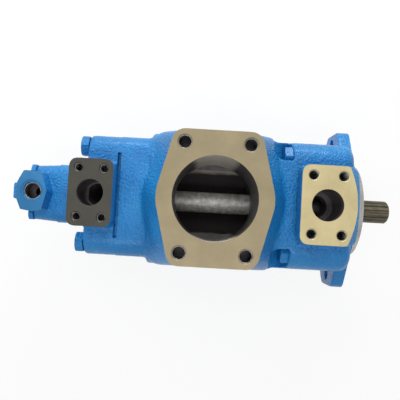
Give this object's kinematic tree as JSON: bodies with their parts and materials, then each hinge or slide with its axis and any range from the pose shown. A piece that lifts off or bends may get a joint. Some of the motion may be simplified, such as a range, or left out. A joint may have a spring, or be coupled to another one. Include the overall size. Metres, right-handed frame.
{
  "type": "hydraulic vane pump",
  "caption": "Cast vane pump with three bolted housings, a large square-flanged inlet, two smaller flanged outlets, a splined shaft and a small pump bolted to its back.",
  "frame": {"origin": "centre of the two flange bolts, where the shaft axis meets the mounting face", "axes": "+X along the shaft and out of its splined end, +Z the way the ports face, Y along the two ears of the mounting flange"},
  "size_m": [0.506, 0.213, 0.207],
  "materials": {
    "painted_casting": "glossy blue enamel over sand-cast iron, with bare machined port faces and pilot",
    "painted_bolt": "blue enamel over a steel hexagon bolt",
    "shaft_steel": "ground and cut steel",
    "seal_rubber": "black moulded rubber",
    "bush_bronze": "plain bronze",
    "plate_iron": "ground iron",
    "bearing_steel": "polished bearing steel",
    "hardened_steel": "ground hardened steel",
    "cage_brass": "pressed brass",
    "spring_steel": "dark spring steel"
  },
  "bodies": {
    "case": {"aux_body": "painted_casting", "aux_bolts": "painted_bolt", "aux_cam_ring": "plate_iron", "aux_cover": "painted_casting", "aux_face_seal": "seal_rubber", "aux_joint_seal": "seal_rubber", "aux_pins": "hardened_steel", "aux_plate_spring": "spring_steel", "aux_pressure_plate": "plate_iron", "aux_shaft_bush": "bush_bronze", "aux_shaft_seal": "seal_rubber", "aux_wear_plate": "plate_iron", "bearing_outer_ring": "bearing_steel", "bearing_retaining_ring": "spring_steel", "front_cam_ring": "plate_iron", "front_cartridge_screws": "hardened_steel", "front_housing": "painted_casting", "front_hub_seal": "seal_rubber", "front_inlet_plate": "plate_iron", "front_joint_bolts": "painted_bolt", "front_joint_seal": "seal_rubber", "front_locating_pins": "hardened_steel", "front_outlet_plate": "plate_iron", "front_plate_seal": "seal_rubber", "inlet_housing": "painted_casting", "rear_cam_ring": "plate_iron", "rear_cartridge_screws": "hardened_steel", "rear_cover": "painted_casting", "rear_hub_seal": "seal_rubber", "rear_inlet_plate": "plate_iron", "rear_joint_bolts": "painted_bolt", "rear_joint_seal": "seal_rubber", "rear_locating_pins": "hardened_steel", "rear_outlet_plate": "plate_iron", "rear_plate_seal": "seal_rubber", "rear_shaft_bush": "bush_bronze", "shaft_seal_case": "hardened_steel", "shaft_seal_lip": "seal_rubber", "shaft_seal_spring": "spring_steel"},
    "shaft_group": {"drive_shaft": "shaft_steel", "bearing_inner_ring": "bearing_steel", "shaft_snap_ring": "spring_steel", "front_rotor": "hardened_steel", "front_vanes": "hardened_steel", "front_vane_inserts": "hardened_steel", "rear_rotor": "hardened_steel", "rear_vanes": "hardened_steel", "rear_vane_inserts": "hardened_steel"},
    "cage_group": {"bearing_cage": "cage_brass", "bearing_balls": "bearing_steel"},
    "aux_group": {"aux_shaft": "shaft_steel", "aux_rotor": "hardened_steel", "aux_vanes": "hardened_steel"}
  },
  "joints": [
    {"name": "shaft_spin", "type": "hinge", "parent": "case", "child": "shaft_group", "pos_m": [0, 0, 0], "axis": [1, 0, 0], "continuous": true},
    {"name": "cage_spin", "type": "hinge", "parent": "case", "child": "cage_group", "pos_m": [0, 0, 0], "axis": [1, 0, 0], "continuous": true},
    {"name": "aux_spin", "type": "hinge", "parent": "case", "child": "aux_group", "pos_m": [-0.37, 0, 0], "axis": [1, 0, 0], "continuous": true}
  ],
  "couplings": [
    {"joint": "cage_spin", "follows": "shaft_spin", "ratio": 0.398},
    {"joint": "aux_spin", "follows": "shaft_spin", "ratio": 1}
  ]
}
